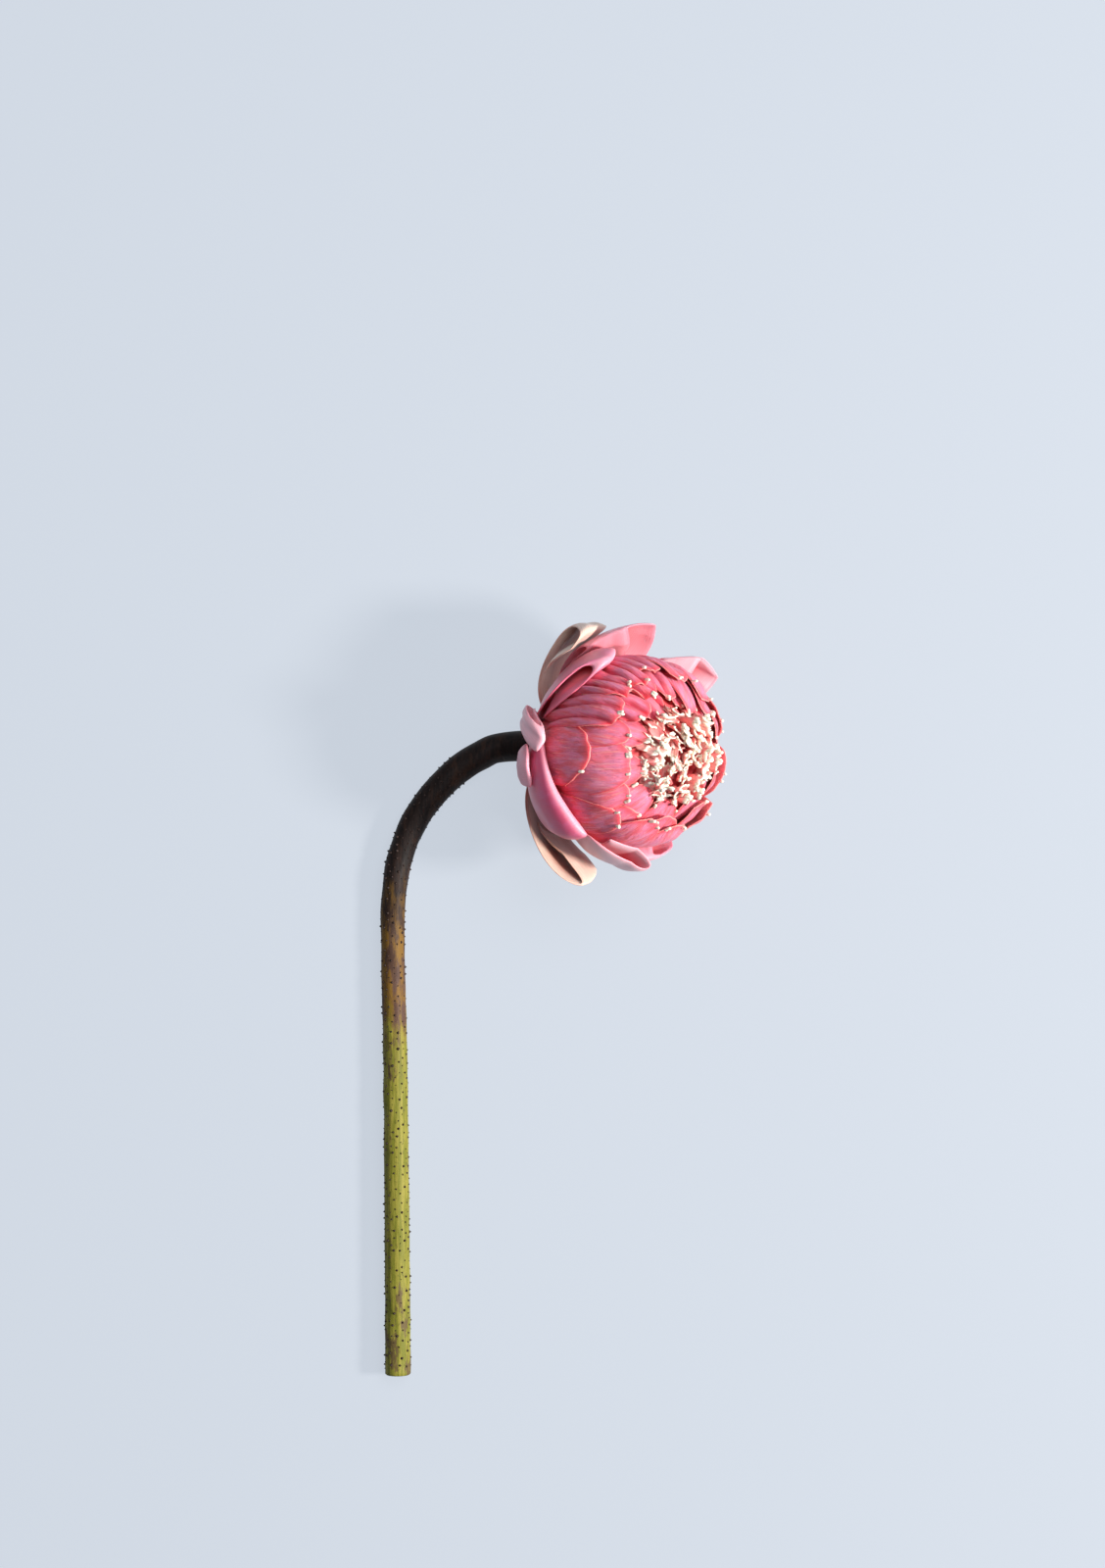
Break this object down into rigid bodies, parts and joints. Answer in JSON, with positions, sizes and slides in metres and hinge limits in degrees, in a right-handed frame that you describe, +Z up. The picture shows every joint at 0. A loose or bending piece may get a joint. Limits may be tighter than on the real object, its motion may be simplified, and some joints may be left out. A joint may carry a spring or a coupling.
{
  "type": "lotus flower",
  "caption": "Cut double lotus flower lying down: bent stem, folded-back outer petals and sepals around a closed globe of inner petals.",
  "frame": {"origin": "on the surface the flower lies on, below the middle of its bounding box", "axes": "+Z up from the surface; +Y along the straight stem, from the cut end to the bloom; +X across, the way the bloom leans"},
  "size_m": [0.137, 0.3034, 0.083],
  "materials": {
    "stem": "matt fresh stalk, dark brown at the bend and yellow-green below",
    "sepal": "matt beige-pink sepal with fine darker veins",
    "outer_petal": "satin light pink petal, deeper coral inside the fold",
    "inner_petal": "matt coral-pink petal with dark veins",
    "petaloid": "ragged pink petaloids with cream tips"
  },
  "bodies": {
    "root": {"stem_with_receptacle": "stem", "sepal_top": "sepal", "sepal_bottom": "sepal", "sepal_under_left": "sepal", "sepal_under_right": "sepal", "outer_petal_top": "outer_petal", "outer_petal_top_left": "outer_petal", "outer_petal_left": "outer_petal", "outer_petal_left_low": "outer_petal", "outer_petal_lower_left": "outer_petal", "outer_petal_bottom": "outer_petal", "outer_petal_bottom_right": "outer_petal", "outer_petal_under_left": "outer_petal", "outer_petal_under_right": "outer_petal", "outer_petal_far": "outer_petal", "inner_petal_1_01": "inner_petal", "inner_petal_1_02": "inner_petal", "inner_petal_1_03": "inner_petal", "inner_petal_1_04": "inner_petal", "inner_petal_1_05": "inner_petal", "inner_petal_1_06": "inner_petal", "inner_petal_1_07": "inner_petal", "inner_petal_1_08": "inner_petal", "inner_petal_1_09": "inner_petal", "inner_petal_1_10": "inner_petal", "inner_petal_1_11": "inner_petal", "inner_petal_1_12": "inner_petal", "inner_petal_1_13": "inner_petal", "inner_petal_2_01": "inner_petal", "inner_petal_2_02": "inner_petal", "inner_petal_2_03": "inner_petal", "inner_petal_2_04": "inner_petal", "inner_petal_2_05": "inner_petal", "inner_petal_2_06": "inner_petal", "inner_petal_2_07": "inner_petal", "inner_petal_2_08": "inner_petal", "inner_petal_2_09": "inner_petal", "inner_petal_2_10": "inner_petal", "inner_petal_2_11": "inner_petal", "inner_petal_2_12": "inner_petal", "inner_petal_2_13": "inner_petal", "inner_petal_3_01": "inner_petal", "inner_petal_3_02": "inner_petal", "inner_petal_3_03": "inner_petal", "inner_petal_3_04": "inner_petal", "inner_petal_3_05": "inner_petal", "inner_petal_3_06": "inner_petal", "inner_petal_3_07": "inner_petal", "inner_petal_3_08": "inner_petal", "inner_petal_3_09": "inner_petal", "inner_petal_3_10": "inner_petal", "petaloid_cluster": "petaloid"}
  },
  "joints": []
}
